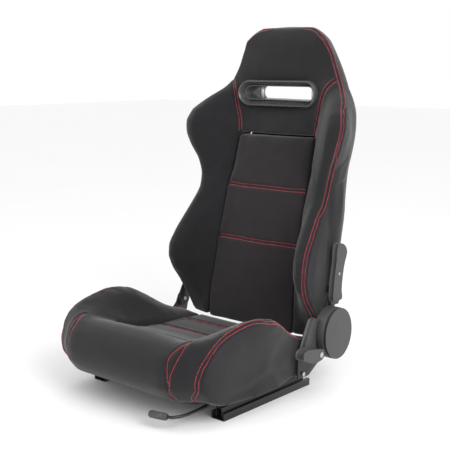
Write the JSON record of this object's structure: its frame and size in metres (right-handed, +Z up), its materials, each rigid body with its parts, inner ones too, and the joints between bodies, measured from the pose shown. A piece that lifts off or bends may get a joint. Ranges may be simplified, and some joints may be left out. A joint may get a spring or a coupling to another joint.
{
  "type": "racing seat",
  "caption": "Reclining sports seat with a bolstered cushion and winged back, a belt slot through the head, sliding floor rails, and release levers for the slide and the recline.",
  "frame": {"origin": "centre of the whole seat in plan, lever and covers included, on the floor face of the rails", "axes": "+Z up, the sitter faces -Y, +X is the sitter's left, the side of the recline lever; the middle plane of the cushion and the backrest is x = -0.0108"},
  "size_m": [0.5784, 0.7503, 0.93],
  "materials": {
    "black_cloth": "matte",
    "panel_cloth": "matte",
    "back_board": "matte",
    "cover_plastic": "satin",
    "gloss_plastic": "gloss",
    "painted_steel": "satin",
    "plated_steel": "satin",
    "grip_rubber": "matte"
  },
  "bodies": {
    "floor_rails": {"lower_rail_left": "painted_steel", "lower_rail_right": "painted_steel"},
    "roller_cage_left": {"roller_cage_left": "plated_steel"},
    "roller_cage_right": {"roller_cage_right": "plated_steel"},
    "seat_base": {"upper_rail_left": "painted_steel", "upper_rail_right": "painted_steel", "rail_bolt_front_left": "plated_steel", "rail_bolt_front_right": "plated_steel", "rail_bolt_rear_left": "plated_steel", "rail_bolt_rear_right": "plated_steel", "cushion_frame": "painted_steel", "seat_pan": "painted_steel", "cushion_insert": "panel_cloth", "front_roll": "black_cloth", "cushion_bolster_left": "black_cloth", "cushion_bolster_right": "black_cloth", "recliner_plate_left": "painted_steel", "recliner_plate_right": "painted_steel", "recliner_plate_bolt_left": "plated_steel", "recliner_plate_bolt_right": "plated_steel", "recliner_pivot_left": "plated_steel", "recliner_pivot_right": "plated_steel", "recliner_spring": "plated_steel", "bracket_cover": "cover_plastic", "disc_cover": "cover_plastic"},
    "lock_pawl": {"lock_pawl": "painted_steel"},
    "recline_lever": {"recline_lever": "cover_plastic", "recline_lever_screw": "plated_steel", "recline_lever_shaft": "plated_steel"},
    "backrest": {"back_frame": "painted_steel", "back_insert": "panel_cloth", "head_pad": "black_cloth", "back_wing_left": "black_cloth", "back_wing_right": "black_cloth", "back_board": "back_board", "slot_bezel_front": "gloss_plastic", "slot_bezel_rear": "gloss_plastic", "slot_liner": "gloss_plastic", "slot_post_left": "plated_steel", "slot_post_right": "plated_steel", "recliner_arm_left": "painted_steel", "recliner_arm_right": "painted_steel", "recliner_arm_bolt_left": "plated_steel", "recliner_arm_bolt_right": "plated_steel", "arm_cover": "cover_plastic", "arm_cover_screw": "plated_steel"},
    "slide_lever": {"slide_lever": "painted_steel", "slide_lever_grip": "grip_rubber", "slide_catch_left": "plated_steel"},
    "slide_catch_right": {"slide_catch_right": "plated_steel"},
    "catch_link": {"catch_link": "plated_steel"}
  },
  "joints": [
    {"name": "seat_slide", "type": "slide", "parent": "floor_rails", "child": "seat_base", "axis": [0, 1, 0], "range_m": [-0.08, 0.08]},
    {"name": "roller_cage_left_slide", "type": "slide", "parent": "floor_rails", "child": "roller_cage_left", "axis": [0, 1, 0], "range_m": [-0.04, 0.04]},
    {"name": "roller_cage_right_slide", "type": "slide", "parent": "floor_rails", "child": "roller_cage_right", "axis": [0, 1, 0], "range_m": [-0.04, 0.04]},
    {"name": "recline", "type": "hinge", "parent": "seat_base", "child": "backrest", "pos_m": [-0.0108, 0.1412, 0.147], "axis": [1, 0, 0], "range_deg": [-55, 30]},
    {"name": "recline_lever_lift", "type": "hinge", "parent": "seat_base", "child": "recline_lever", "pos_m": [-0.0108, 0.0652, 0.107], "axis": [-1, 0, 0], "range_deg": [0, 25], "stiffness_Nm_per_rad": 1.5, "springref_deg": -11.46},
    {"name": "lock_pawl_turn", "type": "hinge", "parent": "seat_base", "child": "lock_pawl", "pos_m": [0.2402, 0.0892, 0.085], "axis": [1, 0, 0], "range_deg": [0, 7.5]},
    {"name": "slide_lever_lift", "type": "hinge", "parent": "seat_base", "child": "slide_lever", "pos_m": [0.1692, 0, 0.034], "axis": [0, 1, 0], "range_deg": [0, 18], "stiffness_Nm_per_rad": 1.2, "springref_deg": -14.32},
    {"name": "slide_catch_right_turn", "type": "hinge", "parent": "seat_base", "child": "slide_catch_right", "pos_m": [-0.1908, 0, 0.034], "axis": [0, -1, 0], "range_deg": [0, 18]},
    {"name": "catch_link_shift", "type": "slide", "parent": "seat_base", "child": "catch_link", "axis": [1, 0, 0], "range_m": [0, 0.005]}
  ],
  "couplings": [
    {"joint": "roller_cage_left_slide", "follows": "seat_slide", "ratio": 0.5},
    {"joint": "roller_cage_right_slide", "follows": "seat_slide", "ratio": 0.5},
    {"joint": "lock_pawl_turn", "follows": "recline_lever_lift", "ratio": 0.3},
    {"joint": "slide_catch_right_turn", "follows": "slide_lever_lift", "ratio": 1},
    {"joint": "catch_link_shift", "follows": "slide_lever_lift", "m_per_rad": 0.0145}
  ]
}
